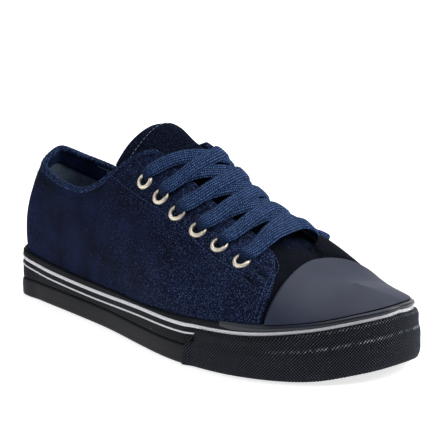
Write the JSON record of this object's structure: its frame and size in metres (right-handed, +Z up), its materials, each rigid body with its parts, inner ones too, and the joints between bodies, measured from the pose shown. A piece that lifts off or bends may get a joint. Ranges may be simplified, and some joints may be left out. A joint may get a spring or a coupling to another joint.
{
  "type": "low-top sneaker",
  "caption": "Low-top lace-up sneaker for the right foot: velvet upper, rubber toe cap, rubber side wall with a textured toe strip, flat laces in metal eyelets.",
  "frame": {"origin": "on the ground under the middle of the shoe's box", "axes": "+X towards the toe, +Z up, -Y towards the wearer's right (the outer side)"},
  "size_m": [0.27, 0.102, 0.1128],
  "materials": {
    "outsole_rubber": "smooth satin",
    "foxing_rubber": "satin, with pale stripes in the visual model",
    "bumper_rubber": "knurled",
    "cap_rubber": "smooth satin",
    "velvet": "short-pile navy velvet with glitter",
    "tongue_velvet": "dark navy velvet",
    "insole_cloth": "woven",
    "lace_cloth": "flat woven cotton",
    "eyelet_metal": "pale gold plating"
  },
  "bodies": {
    "root": {"outsole": "outsole_rubber", "foxing": "foxing_rubber", "toe_bumper": "bumper_rubber", "insole": "insole_cloth", "upper": "velvet", "toe_cap": "cap_rubber", "tongue": "tongue_velvet", "laces": "lace_cloth", "eyelet_outer_1": "eyelet_metal", "eyelet_outer_2": "eyelet_metal", "eyelet_outer_3": "eyelet_metal", "eyelet_outer_4": "eyelet_metal", "eyelet_outer_5": "eyelet_metal", "eyelet_outer_6": "eyelet_metal", "eyelet_inner_1": "eyelet_metal", "eyelet_inner_2": "eyelet_metal", "eyelet_inner_3": "eyelet_metal", "eyelet_inner_4": "eyelet_metal", "eyelet_inner_5": "eyelet_metal", "eyelet_inner_6": "eyelet_metal"}
  },
  "joints": []
}
